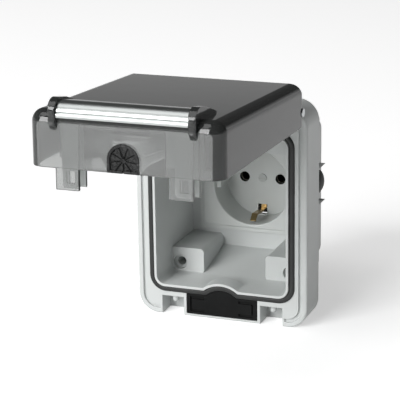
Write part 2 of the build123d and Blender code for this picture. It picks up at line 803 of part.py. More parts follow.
def make_cheek():
    """A cheek at the bar's end: a fin that runs back along the lid to a point."""
    foot = (ridge_depth, lid_rise_foot - cheek_foot_drop - ridge_depth)
    toe = (-bar_skirt_out, lid_rise_foot - cheek_foot_drop)
    chin = (-cheek_chin_out, lid_rise_foot - cheek_toe_drop)
    cheek = (-cheek_chin_out, lid_rise_foot)
    top = (bar_crest_in, lid_rise_foot + bar_crest_lift + cheek_proud)
    nape = (bar_back_in, lid_rise_foot + bar_back_lift + cheek_proud)
    tail = (cheek_tail_in, lid_rise_foot - lid_slope * cheek_tail_in - ridge_depth)
    tail_high = (cheek_tail_in, lid_rise_foot - lid_slope * cheek_tail_in + cheek_tail_lift)
    heel = (ridge_heel_in, lid_rise_foot - ridge_depth - lid_slope * ridge_heel_in)
    brow_out = cheek_proud - bar_brow_in
    brow_middle = (-brow_out, lid_rise_foot + bar_brow_lift + cheek_proud)
    front = Polyline(*[at_lid_edge(*point) for point in (foot, toe, chin, cheek)])
    brow = ThreePointArc(front @ 1, at_lid_edge(*brow_middle), at_lid_edge(*top))
    back = Polyline(
        brow @ 1, *[at_lid_edge(*point) for point in (nape, tail_high, tail, heel)],
        in_lid_wall(60), in_lid_wall(30), in_lid_wall(0), front @ 0,
    )
    inner_x = bar_length / 2 + cheek_gap
    fin = ribbon(make_face([front, brow, back]), inner_x, inner_x + cheek_thickness)
    leading = fin.faces().filter_by(
        lambda face: face.center().Z < lid_foot_z and abs(face.normal_at().X) < 0.1
    )
    edges = [edge for face in leading for edge in face.edges() if abs(edge.tangent_at(0.5).X) < 0.1]
    return fillet(edges, cheek_round)


def make_knuckle():
    """A hinge knuckle at the lid's upper corner."""
    ring = Pos(hinge_y, hinge_z) * Circle(knuckle_radius)
    root = Line((hinge_y - 4, lid_top_z - 0.5), (hinge_y + 3.2, lid_top_z - 0.5))
    outline = make_hull([*ring.edges(), *root.edges()])
    return ribbon(outline, knuckle_inner_x, knuckle_outer_x)


def membrane_outline(offset):
    """The cable membrane's outline: straight at the lid's rim and round above it."""
    half = membrane_width / 2 - offset
    low = offset
    high = membrane_height - membrane_width / 2
    crown = Pos(0, high) * Circle(half)
    upper = Pos(0, high + half) * Rectangle(2 * half, 2 * half)
    return (crown & upper) + Pos(0, (low + high) / 2) * Rectangle(2 * half, high - low)


def membrane_block(offset, z_low, z_high):
    """The membrane's outline as a block through the lid's foot wall."""
    outline = membrane_outline(offset)
    plane = Plane(origin=(0, lid_rim_y, z_low), x_dir=(1, 0, 0), z_dir=(0, 0, 1))
    flipped = mirror(outline, about=Plane.XZ)
    return extrude(plane * flipped, amount=z_high - z_low, dir=(0, 0, 1))


def make_membrane_carrier():
    """The plate behind the lid's foot wall that holds the membrane."""
    z0 = lid_foot_z + lid_wall
    plate = slab(-carrier_width / 2, carrier_width / 2, lid_rim_y - carrier_height, lid_rim_y,
                 z0, z0 + carrier_plate)
    return plate - membrane_block(0, z0 - 1, z0 + carrier_plate + 1)


def make_cable_membrane():
    """The rubber membrane: a bead round a thin web, slit like a fan for the cable."""
    z0 = lid_foot_z - 0.3
    z1 = lid_foot_z + lid_wall + carrier_plate + 0.3
    body = membrane_block(fit_gap / 2, z0, z1)
    web_z = lid_foot_z + 0.6
    body -= membrane_block(membrane_bead, z0 - 1, web_z)
    body -= membrane_block(membrane_bead, web_z + membrane_web, z1 + 1)
    hub_y = lid_rim_y - (membrane_height - membrane_width / 2)
    reach = membrane_width / 2 - membrane_bead - 0.4
    for index in range(slit_count):
        angle = 90 + index * 360 / slit_count
        slit = Pos(reach / 2 + 0.5, 0, 0) * Box(reach - 1, slit_width, membrane_web * 4)
        body -= Pos(0, hub_y, web_z) * Rot(Z=angle) * slit
    return body


def make_hinge_pin(side):
    """A hinge pin, pushed in from the lid's side, with a low head."""
    shank = Pos(hinge_y, hinge_z) * Circle(pin_radius)
    head = Pos(hinge_y, hinge_z) * Circle(pin_head_radius)
    head_x = knuckle_outer_x + fit_gap
    pin = ribbon(shank, ear_inner_x + 0.4, head_x + pin_head / 2)
    pin += ribbon(head, head_x, head_x + pin_head)
    return pin if side > 0 else mirror(pin, about=Plane.YZ)


def raised(solid):
    """Turn a piece of the shut lid about the hinge to where the lid stands open."""
    axis_place = Pos(0, hinge_y, hinge_z)
    return axis_place * Rot(X=-open_angle) * axis_place.inverse() * solid


nodes = {
    "housing": make_housing(),
    "lid_seal": make_lid_seal(),
    "wall_seal": make_wall_seal(),
    "cable_pad": make_cable_pad(),
    "grommet_right": make_grommet(),
    "grommet_left": mirror(make_grommet(), about=Plane.YZ),
    "socket_face": make_socket_face(),
    "socket_frame": make_socket_frame(),
    "centre_screw": make_centre_screw(),
    "earth_clip": make_earth_clip(),
    "contact_left": make_contact(-pin_pitch / 2),
    "contact_right": make_contact(pin_pitch / 2),
    "socket_base": make_socket_base(),
    "terminal_screws": make_terminal_screws(),
    "mounting_bracket": make_bracket(),
    "bracket_screws": make_bracket_screws(),
    "hinge_pin_left": make_hinge_pin(-1),
    "hinge_pin_right": make_hinge_pin(1),
    "lid_shell": raised(make_lid_shell()),
    "grip_bar": raised(make_grip_bar()),
    "membrane_carrier": raised(make_membrane_carrier()),
    "cable_membrane": raised(make_cable_membrane()),
}

os.makedirs("parts", exist_ok=True)
for name, solid in nodes.items():
    export_step(solid, f"parts/{name}.step")
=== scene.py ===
"""Dress the flush weatherproof socket in its real finishes and light it as in a plain studio.

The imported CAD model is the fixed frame. Each class takes the nodes of one sub-assembly, makes
the meshes that need finer edges or a truer section, and gives every surface its finish.
Sizes in the dataclasses are millimetres, and Blender's own unit is the metre.
"""

import json
import logging
import math
from dataclasses import dataclass, field
from enum import Enum

import bmesh
import bpy
from mathutils import Matrix, Vector

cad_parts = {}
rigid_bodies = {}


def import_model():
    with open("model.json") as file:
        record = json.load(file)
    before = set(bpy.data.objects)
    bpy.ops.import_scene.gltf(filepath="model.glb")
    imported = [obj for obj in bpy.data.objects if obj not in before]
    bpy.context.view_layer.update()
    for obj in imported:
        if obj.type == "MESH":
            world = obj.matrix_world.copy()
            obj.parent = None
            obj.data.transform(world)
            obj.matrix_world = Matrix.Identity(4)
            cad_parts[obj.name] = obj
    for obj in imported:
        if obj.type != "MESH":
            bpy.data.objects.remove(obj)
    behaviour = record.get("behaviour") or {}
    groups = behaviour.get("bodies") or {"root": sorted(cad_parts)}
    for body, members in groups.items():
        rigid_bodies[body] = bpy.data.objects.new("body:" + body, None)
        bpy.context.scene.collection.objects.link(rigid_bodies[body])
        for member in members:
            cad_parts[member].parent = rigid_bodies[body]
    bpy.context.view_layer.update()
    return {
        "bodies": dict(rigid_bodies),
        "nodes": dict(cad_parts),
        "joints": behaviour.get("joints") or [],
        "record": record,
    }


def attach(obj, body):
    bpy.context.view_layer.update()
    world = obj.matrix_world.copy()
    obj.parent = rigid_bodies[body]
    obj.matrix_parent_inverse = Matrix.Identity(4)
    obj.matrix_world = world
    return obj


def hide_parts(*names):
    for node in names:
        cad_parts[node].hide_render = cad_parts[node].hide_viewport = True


LOG = logging.getLogger("socket")
MM = 0.001
WELD = 2e-6
FLAT_ANGLE = math.radians(0.8)
BEVEL_FROM = math.radians(38)
BEVEL_STEPS = 2
SHARP_FROM = math.radians(52)
TINT_FROM = 0.35
TINT_TO = 0.65
NOISE_ROUGHNESS = 0.55
RELIEF_STRENGTH = 0.6
RIM_Y = -19.0
FOOT_Z = -53.8
HINGE_Y = -26.0
HINGE_Z = 53.5
OPEN_ANGLE = math.radians(-91.5)


class Body(Enum):
    """The two rigid bodies of the socket."""

    CASE = "case"
    LID = "lid"


class Edge(Enum):
    """How far a moulded or cut edge is rounded, in millimetres."""

    NONE = 0.0
    CRISP = 0.12
    MOULDED = 0.22


def linear(hex_colour: str) -> tuple[float, float, float, float]:
    """Turn an sRGB hex colour into linear RGBA.

    Args:
        hex_colour: Six hex digits after a hash sign.

    Returns:
        Linear red, green and blue from 0 to 1, and an alpha of 1.
    """
    parts = []
    for start in (1, 3, 5):
        value = int(hex_colour[start:start + 2], 16) / 255
        parts.append(value / 12.92 if value <= 0.04045 else ((value + 0.055) / 1.055) ** 2.4)
    return parts[0], parts[1], parts[2], 1.0


def add(
    tree: bpy.types.NodeTree,
    kind: str,
    values: dict | None = None,
    links: dict | None = None,
    **settings: object,
) -> bpy.types.Node:
    """Add a node with its settings, its socket values and its incoming links.

    Args:
        tree: The node tree that gets the node.
        kind: The node's type name.
        values: Socket name or number to its fixed value.
        links: Socket name or number to the output socket that feeds it.
        **settings: Attributes of the node, set before its sockets.

    Returns:
        The new node.
    """
    node = tree.nodes.new(kind)
    for name, setting in settings.items():
        setattr(node, name, setting)
    for socket, value in (values or {}).items():
        node.inputs[socket].default_value = value
    for socket, source in (links or {}).items():
        tree.links.new(source, node.inputs[socket])
    return node


def calculated(
    tree: bpy.types.NodeTree, operation: str, *terms: bpy.types.NodeSocket | float
) -> bpy.types.NodeSocket:
    """Combine values with one Math node.

    Args:
        tree: The node tree.
        operation: What the node does with its terms.
        *terms: Its inputs in order, each a number or another node's output.

    Returns:
        The socket with the result.
    """
    values = {}
    links = {}
    for place, term in enumerate(terms):
        kept = links if isinstance(term, bpy.types.NodeSocket) else values
        kept[place] = term
    return add(tree, "ShaderNodeMath", values, links, operation=operation).outputs[0]


def ranged(
    tree: bpy.types.NodeTree,
    source: bpy.types.NodeSocket,
    start: float,
    end: float,
    low: float = 0.0,
    high: float = 1.0,
) -> bpy.types.NodeSocket:
    """Carry a value over from one range to another, and hold it at both ends.

    Args:
        tree: The node tree.
        source: The value.
        start: The result where the value is at its low limit.
        end: The result where the value is at its high limit.
        low: The value's low limit.
        high: The value's high limit.

    Returns:
        The socket with the result.
    """
    scale = add(
        tree,
        "ShaderNodeMapRange",
        {"From Min": low, "From Max": high, "To Min": start, "To Max": end},
        {"Value": source},
    )
    return scale.outputs["Result"]


def placed(name: str, data: bpy.types.ID) -> bpy.types.Object:
    """Put a mesh, curve, lamp or camera into the scene as an object at the origin."""
    thing = bpy.data.objects.new(name, data)
    bpy.context.scene.collection.objects.link(thing)
    return thing


def closed_line(name: str, points: list[tuple[float, float]]) -> bpy.types.Object:
    """Draw a closed line in the XY plane.

    Args:
        name: The line's name.
        points: Its points in X and Y, in millimetres.

    Returns:
        The new curve object.
    """
    curve = bpy.data.curves.new(name, "CURVE")
    curve.dimensions = "3D"
    line = curve.splines.new("POLY")
    line.points.add(len(points) - 1)
    for point, (x, y) in zip(line.points, points):
        point.co = (x * MM, y * MM, 0, 1)
    line.use_cyclic_u = True
    return placed(name, curve)


def opened_tree(
    name: str, sizes: tuple[str, ...], counts: tuple[str, ...] = ()
) -> tuple[bpy.types.NodeTree, bpy.types.NodeOutputs]:
    """Begin a Geometry Nodes tree that takes a shape and some numbers, and gives a shape.

    Args:
        name: The tree's name.
        sizes: The names of its inputs that are lengths.
        counts: The names of its inputs that are whole numbers.

    Returns:
        The tree, and the sockets that hand out its inputs.
    """
    tree = bpy.data.node_groups.new(name, "GeometryNodeTree")
    sockets = tree.interface
    sockets.new_socket("Geometry", in_out="INPUT", socket_type="NodeSocketGeometry")
    for size in sizes:
        sockets.new_socket(size, in_out="INPUT", socket_type="NodeSocketFloat")
    for count in counts:
        sockets.new_socket(count, in_out="INPUT", socket_type="NodeSocketInt")
    sockets.new_socket("Geometry", in_out="OUTPUT", socket_type="NodeSocketGeometry")
    return tree, add(tree, "NodeGroupInput").outputs


def closed_tree(
    tree: bpy.types.NodeTree, shape: bpy.types.NodeSocket, material: bpy.types.Material
) -> bpy.types.NodeTree:
    """End a Geometry Nodes tree: one real mesh, in its material.

    Args:
        tree: The node tree.
        shape: The socket with the finished shape.
        material: The shape's material.

    Returns:
        The same tree.
    """
    real = add(tree, "GeometryNodeRealizeInstances", links={"Geometry": shape})
    dressed = add(
        tree,
        "GeometryNodeSetMaterial",
        {"Material": material},
        {"Geometry": real.outputs["Geometry"]},
    )
    add(tree, "NodeGroupOutput", links={"Geometry": dressed.outputs["Geometry"]})
    return tree


def apply_tree(piece: bpy.types.Object, tree: bpy.types.NodeTree, sizes: dict) -> None:
    """Put a Geometry Nodes tree on a piece and set its inputs by their identifiers.

    Args:
        piece: The object that gets the modifier.
        tree: The node tree.
        sizes: Input name to its value.
    """
    modifier = piece.modifiers.new(tree.name, "NODES")
    modifier.node_group = tree
    for item in tree.interface.items_tree:
        if item.in_out == "INPUT" and item.name in sizes:
            modifier[item.identifier] = sizes[item.name]


@dataclass(frozen=True)
class Finish:
    """A surface finish, from which a procedural material is made once."""

    name: str
    colour: str
    slot: str
    roughness: float = 0.5

    def material(self) -> bpy.types.Material:
        """Give the finish's material, and make it on the first call."""
        made = bpy.data.materials.get(self.name)
        if made:
            return made
        made = bpy.data.materials.new(self.name)
        made.use_nodes = True
        tree = made.node_tree
        tree.nodes.clear()
        shader = add(
            tree,
            "ShaderNodeBsdfPrincipled",
            {"Base Color": linear(self.colour), "Roughness": self.roughness},
        )
        output = add(tree, "ShaderNodeOutputMaterial")
        tree.links.new(shader.outputs["BSDF"], output.inputs["Surface"])
        self.detail(tree, shader, output)
        return made

    def detail(
        self,
        tree: bpy.types.NodeTree,
        shader: bpy.types.Node,
        output: bpy.types.Node,
    ) -> None:
        """Add what sets this finish apart to its node tree."""

    def noise(self, tree: bpy.types.NodeTree, size: float, detail: float = 2.0) -> bpy.types.Node:
        """Add noise on the object's own coordinates.

        Args:
            tree: The node tree.
            size: The width of one blotch in millimetres.
            detail: How many finer layers the noise has.

        Returns:
            The noise node.
        """
        place = add(tree, "ShaderNodeTexCoord")
        return add(
            tree,
            "ShaderNodeTexNoise",
            {"Scale": 1 / (size * MM), "Detail": detail, "Roughness": NOISE_ROUGHNESS},
            {"Vector": place.outputs["Object"]},
        )

    def tint(
        self,
        tree: bpy.types.NodeTree,
        shader: bpy.types.Node,
        source: bpy.types.NodeSocket,
        dark: str,
        light: str,
    ) -> None:
        """Let a pattern move the base colour between two near colours.

        Args:
            tree: The node tree.
            shader: The Principled node.
            source: The pattern's value, from 0 to 1.
            dark: The sRGB colour at the low end.
            light: The sRGB colour at the high end.
        """
        ramp = add(tree, "ShaderNodeValToRGB", links={"Fac": source})
        stops = ((TINT_FROM, dark), (TINT_TO, light))
        for stop, (position, colour) in zip(ramp.color_ramp.elements, stops):
            stop.position = position
            stop.color = linear(colour)
        tree.links.new(ramp.outputs["Color"], shader.inputs["Base Color"])

    def bump(
        self,
        tree: bpy.types.NodeTree,
        shader: bpy.types.Node,
        source: bpy.types.NodeSocket,
        height: float,
    ) -> None:
        """Let a pattern raise the surface.

        Args:
            tree: The node tree.
            shader: The Principled node.
            source: The pattern's value, from 0 to 1.
            height: How far the pattern stands up, in millimetres.
        """
        relief = add(
            tree,
            "ShaderNodeBump",
            {"Strength": RELIEF_STRENGTH, "Distance": height * MM},
            {"Height": source},
        )
        tree.links.new(relief.outputs["Normal"], shader.inputs["Normal"])


@dataclass(frozen=True)
class MouldedPlastic(Finish):
    """Injection-moulded plastic from a spark-eroded tool: an even colour and a soft sheen."""

    grain: float = 0.7
    grain_height: float = 0.02
    cloud: float = 26.0
    shade: str = "#000000"
    index: float = 1.5
    glossier: float = 0.05
    duller: float = 0.07

    def detail(
        self,
        tree: bpy.types.NodeTree,
        shader: bpy.types.Node,
        output: bpy.types.Node,
    ) -> None:
        """Add the tool's fine grain, faint clouds in the colour and uneven gloss."""
        shader.inputs["IOR"].default_value = self.index
        cloud = self.noise(tree, self.cloud, detail=3.0)
        self.tint(tree, shader, cloud.outputs["Fac"], self.shade, self.colour)
        low = self.roughness - self.glossier
        gloss = ranged(tree, cloud.outputs["Fac"], low, self.roughness + self.duller)
        tree.links.new(gloss, shader.inputs["Roughness"])
        grain = self.noise(tree, self.grain)
        self.bump(tree, shader, grain.outputs["Fac"], self.grain_height)


@dataclass(frozen=True)
class Rubber(Finish):
    """Moulded black rubber: deep black, matt, with a little grey bloom on it."""

    bloom: str = "#303231"
    patch: float = 9.0
    pore: float = 0.5
    pore_height: float = 0.03
    sheen: float = 0.5
    index: float = 1.52

    def detail(
        self,
        tree: bpy.types.NodeTree,
        shader: bpy.types.Node,
        output: bpy.types.Node,
    ) -> None:
        """Add the grey bloom in patches and the fine pores."""
        shader.inputs["IOR"].default_value = self.index
        shader.inputs["Specular IOR Level"].default_value = self.sheen
        patches = self.noise(tree, self.patch, detail=4.0)
        self.tint(tree, shader, patches.outputs["Fac"], self.colour, self.bloom)
        pores = self.noise(tree, self.pore)
        self.bump(tree, shader, pores.outputs["Fac"], self.pore_height)


@dataclass(frozen=True)
class EmbossedRubber(Rubber):
    """Rubber with branching veins moulded into its face, as relief in the surface only.

    The vein's limits are shares of a cell: full height up to one, and flat past the other.
    """

    cell: float = 2.3
    relief: float = 0.45
    vein_full: float = 0.04
    vein_end: float = 0.16

    def detail(
        self,
        tree: bpy.types.NodeTree,
        shader: bpy.types.Node,
        output: bpy.types.Node,
    ) -> None:
        """Raise the veins along the borders of uneven cells."""
        super().detail(tree, shader, output)
        place = add(tree, "ShaderNodeTexCoord")
        cells = add(
            tree,
            "ShaderNodeTexVoronoi",
            {"Scale": 1 / (self.cell * MM)},
            {"Vector": place.outputs["Object"]},
            feature="DISTANCE_TO_EDGE",
        )
        veins = ranged(tree, cells.outputs["Distance"], 1.0, 0.0, self.vein_full, self.vein_end)
        self.bump(tree, shader, veins, self.relief)


@dataclass(frozen=True)
class TintedPlastic(Finish):
    """Plastic with a smoke tint all through it, moulded in a polished tool.

    The more of it the light has to cross, the darker it looks, so its edges are the darkest.
    """

    smoke: str = "#4c504f"
    density: float = 450.0
    index: float = 1.58
    wave: float = 9.0
    wave_height: float = 0.012
    passage: float = 1.0
    sheen: float = 0.5
    shade_colour: str = "#f2f4f3"

    def detail(
        self,
        tree: bpy.types.NodeTree,
        shader: bpy.types.Node,
        output: bpy.types.Node,
    ) -> None:
        """Make it glass of this plastic's index, and let the lamps reach what is inside."""
        shader.inputs["Transmission Weight"].default_value = self.passage
        shader.inputs["Specular IOR Level"].default_value = self.sheen
        shader.inputs["IOR"].default_value = self.index
        tint = add(
            tree,
            "ShaderNodeVolumeAbsorption",
            {"Color": linear(self.smoke), "Density": self.density},
        )
        tree.links.new(tint.outputs["Volume"], output.inputs["Volume"])
        path = add(tree, "ShaderNodeLightPath")
        clear = add(tree, "ShaderNodeBsdfTransparent", {"Color": linear(self.shade_colour)})
        pick = add(
            tree,
            "ShaderNodeMixShader",
            links={
                0: path.outputs["Is Shadow Ray"],
                1: shader.outputs["BSDF"],
                2: clear.outputs["BSDF"],
            },
        )
        tree.links.new(pick.outputs["Shader"], output.inputs["Surface"])
        ripple = self.noise(tree, self.wave, detail=1.0)
        self.bump(tree, shader, ripple.outputs["Fac"], self.wave_height)


@dataclass(frozen=True)
class LidPlastic(TintedPlastic):
    """The lid's smoked plastic, whose foot wall is paler and frosted.

    The wall is told by where its surface lies and faces on the open lid.
    """

    frost_colour: str = "#eceeed"
    frost_passage: float = 0.86
    frost_roughness: float = 0.15
    frost_before_y: float = -120.0
    frost_below_z: float = 69.0
    frost_fade: float = 2.5
    depth_fade: float = 1.0
    facing_full: float = -0.98
    facing_none: float = -0.9
    arm_behind_y: float = -130.0
    arm_passage: float = 0.3

    def detail(
        self,
        tree: bpy.types.NodeTree,
        shader: bpy.types.Node,
        output: bpy.types.Node,
    ) -> None:
        """Frost the flat outside of the foot wall on top of the plain smoked plastic."""
        super().detail(tree, shader, output)
        place = add(tree, "ShaderNodeTexCoord")
        at = add(tree, "ShaderNodeSeparateXYZ", links={"Vector": place.outputs["Object"]})
        way = add(tree, "ShaderNodeSeparateXYZ", links={"Vector": place.outputs["Normal"]})
        front = self.frost_before_y * MM
        low = self.frost_below_z * MM
        fade = self.frost_fade * MM
        soft = self.depth_fade * MM
        facing = ranged(tree, way.outputs["Y"], 0.0, 1.0, self.facing_none, self.facing_full)
        ahead = ranged(tree, at.outputs["Y"], 0.0, 1.0, front + soft, front - soft)
        below = ranged(tree, at.outputs["Z"], 0.0, 1.0, low + fade, low - fade)
        wall = calculated(tree, "MULTIPLY", facing, ahead)
        mask = calculated(tree, "MULTIPLY", wall, below)
        self.tint(tree, shader, mask, self.colour, self.frost_colour)
        gloss = ranged(tree, mask, self.roughness, self.frost_roughness)
        tree.links.new(gloss, shader.inputs["Roughness"])
        # The catches' arms, at the back of the wall, scatter more of the light
        arm_y = self.arm_behind_y * MM
        behind = ranged(tree, at.outputs["Y"], 0.0, 1.0, arm_y - soft, arm_y + soft)
        arm = calculated(tree, "MULTIPLY", mask, behind)
        clear = ranged(tree, mask, self.passage, self.frost_passage)
        loss = self.arm_passage - self.frost_passage
        passage = calculated(tree, "MULTIPLY_ADD", arm, loss, clear)
        tree.links.new(passage, shader.inputs["Transmission Weight"])


@dataclass(frozen=True)
class Metal(Finish):
    """A bare or plated metal, with the fine lines of its drawing or rolling along X."""

    line: float = 0.25
    line_height: float = 0.006
    line_squeeze: float = 0.02
    shade: str = "#000000"

    def detail(
        self,
        tree: bpy.types.NodeTree,
        shader: bpy.types.Node,
        output: bpy.types.Node,
    ) -> None:
        """Stretch noise along X into drawing lines, for the colour and the relief."""
        shader.inputs["Metallic"].default_value = 1.0
        place = add(tree, "ShaderNodeTexCoord")
        stretch = add(
            tree,
            "ShaderNodeMapping",
            {"Scale": (self.line_squeeze, 1.0, 1.0)},
            {"Vector": place.outputs["Object"]},
        )
        lines = add(
            tree,
            "ShaderNodeTexNoise",
            {"Scale": 1 / (self.line * MM), "Detail": 2.0},
            {"Vector": stretch.outputs["Vector"]},
        )
        self.tint(tree, shader, lines.outputs["Fac"], self.shade, self.colour)
        self.bump(tree, shader, lines.outputs["Fac"], self.line_height)


# Light-grey ASA, the usual plastic for outdoor fittings: satin, faintly cool
HOUSING_ASA = MouldedPlastic(
    "housing_asa", "#c9cccb", "housing_plastic", 0.42, shade="#c4c7c6"
)
# The insert is moulded in polyamide and looks a touch smoother than the housing
FACE_PA = MouldedPlastic("face_polyamide", "#cbcecc", "face_plastic", 0.36, shade="#c6c9c7")
SCREW_PA = MouldedPlastic("screw_polyamide", "#bdc0be", "screw_plastic", 0.38, shade="#b7bab8")
BASE_UREA = MouldedPlastic(
    "base_urea", "#dedbd0", "base_plastic", 0.5, shade="#d6d2c5", grain_height=0.03
)
# The membrane's frame is clear, and the lid in front of it is smoked
CARRIER_ABS = TintedPlastic(
    "carrier_clear_abs", "#f2f4f3", "carrier_plastic", 0.12, density=160.0
)
SEAL_EPDM = Rubber("seal_epdm", "#111212", "seal_rubber", 0.55, bloom="#1d1f1e")
PAD_EPDM = Rubber("pad_epdm", "#0a0b0b", "seal_rubber", 0.6, bloom="#121313", sheen=0.12)
FOAM_EPDM = Rubber("foam_epdm", "#232423", "foam_rubber", 0.85, bloom="#343534", pore=0.9)
MEMBRANE_EPDM = EmbossedRubber(
    "membrane_epdm", "#0c0d0d", "seal_rubber", 0.45, bloom="#151616", sheen=0.4
)
LID_POLYCARBONATE = LidPlastic(
    "lid_smoked_polycarbonate", "#565958", "smoked_lid", 0.03, passage=0.8, sheen=0.0
)
BAR_ANODISED = Metal(
    "bar_anodised_aluminium", "#a9acab", "bar_aluminium", 0.28,
    line=0.12, line_height=0.002, shade="#a4a7a6",
)
SPRING_BRASS = Metal("spring_brass", "#a8946c", "contact_brass", 0.3, shade="#98835c")
# The sleeves' brass is darkened to a deep brown: painted shade for brass lying in the unlit bores
SLEEVE_BRASS_SHADED = Metal("sleeve_brass_painted_shade", "#3a352b", "contact_brass", 0.45, shade="#2c2820")
# Near black for the pin bores' walls and the base's front: painted shade where they lie deep and
# unlit
BORE_SHADE = MouldedPlastic("bore_painted_shade", "#141515", "face_plastic", 0.7, shade="#101111")
ZINC_STEEL = Metal("zinc_plated_steel", "#c3c6c9", "plated_steel", 0.32, shade="#b4b8bc")
PIN_STEEL = Metal("drawn_steel", "#b9bbbd", "pin_steel", 0.25, shade="#a8abad")


@dataclass
class Workshop:
    """What every sub-assembly needs: the frame, and the ways to copy, finish and fit pieces."""

    frame: dict

    def finished(self, piece: bpy.types.Object, finish: Finish, body: Body) -> bpy.types.Object:
        """Let a piece ride on its body.

        Args:
            piece: The mesh object, in place.
            finish: Not used.
            body: The body that carries it.

        Returns:
            The same piece.
        """
        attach(piece, body.value)
        LOG.info("%s: %d faces on %s", piece.name, len(piece.data.polygons), body.value)
        return piece

    def baked(self, piece: bpy.types.Object) -> bpy.types.Object:
        """Turn a piece's modifiers into a plain mesh.

        Args:
            piece: An object with modifiers.

        Returns:
            The same object with the result as its mesh and no modifiers.
        """
        graph = bpy.context.evaluated_depsgraph_get()
        mesh = bpy.data.meshes.new_from_object(
            piece.evaluated_get(graph), preserve_all_data_layers=True, depsgraph=graph
        )
        if piece.type == "MESH":
            piece.modifiers.clear()
            piece.data = mesh
            return piece
        name = piece.name
        bpy.data.objects.remove(piece)
        return placed(name, mesh)

    def rounded(self, piece: bpy.types.Object, edge: Edge) -> None:
        """Round off a piece's edges, but not the shallow ones."""
        bevel = piece.modifiers.new("edge", "BEVEL")
        bevel.width = edge.value * MM
        bevel.segments = BEVEL_STEPS
        bevel.limit_method = "ANGLE"
        bevel.angle_limit = BEVEL_FROM
        bevel.use_clamp_overlap = False
        self.baked(piece)

    def carried_over(
        self, node: str, name: str, body: Body, finish: Finish, edge: Edge
    ) -> bpy.types.Object:
        """Copy a CAD node, weld it, round its edges and let the copy stand for it.

        Args:
            node: The CAD node's name.
            name: The new piece's name.
            body: The body that carries it.
            finish: Its finish.
            edge: How far its edges are rounded.

        Returns:
            The new piece.
        """
        mesh = self.frame["nodes"][node].data.copy()
        mesh.materials.clear()
        mesh.materials.append(finish.material())
        extra = [a.name for a in mesh.attributes if not a.is_required and not a.is_internal]
        for layer in extra:
            mesh.attributes.remove(mesh.attributes[layer])
        shape = bmesh.new()
        shape.from_mesh(mesh)
        bmesh.ops.remove_doubles(shape, verts=shape.verts, dist=WELD)
        bmesh.ops.dissolve_limit(
            shape, angle_limit=FLAT_ANGLE, verts=shape.verts, edges=shape.edges
        )
        for face in shape.faces:
            face.smooth = True
            face.material_index = 0
        shape.to_mesh(mesh)
        shape.free()
        piece = placed(name, mesh)
        if edge is not Edge.NONE:
            self.rounded(piece, edge)
        piece.data.set_sharp_from_angle(angle=SHARP_FROM)
        weighted = piece.modifiers.new("normals", "WEIGHTED_NORMAL")
        weighted.keep_sharp = True
        self.baked(piece)
        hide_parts(node)
        return self.finished(piece, finish, body)


@dataclass
class Housing:
    """The grey housing with what is moulded or pressed into it."""

    shop: Workshop

    def build(self) -> None:
        """Carry over the housing, its grommets, the pad and the foam seal."""
        shop = self.shop
        shop.carried_over("housing", "housing_shell", Body.CASE, HOUSING_ASA, Edge.MOULDED)
        shop.carried_over("cable_pad", "rubber_cable_pad", Body.CASE, PAD_EPDM, Edge.MOULDED)
        shop.carried_over("wall_seal", "foam_wall_seal", Body.CASE, FOAM_EPDM, Edge.CRISP)
        for side in ("right", "left"):
            shop.carried_over(
                f"grommet_{side}", f"side_grommet_{side}", Body.CASE, SEAL_EPDM, Edge.CRISP
            )


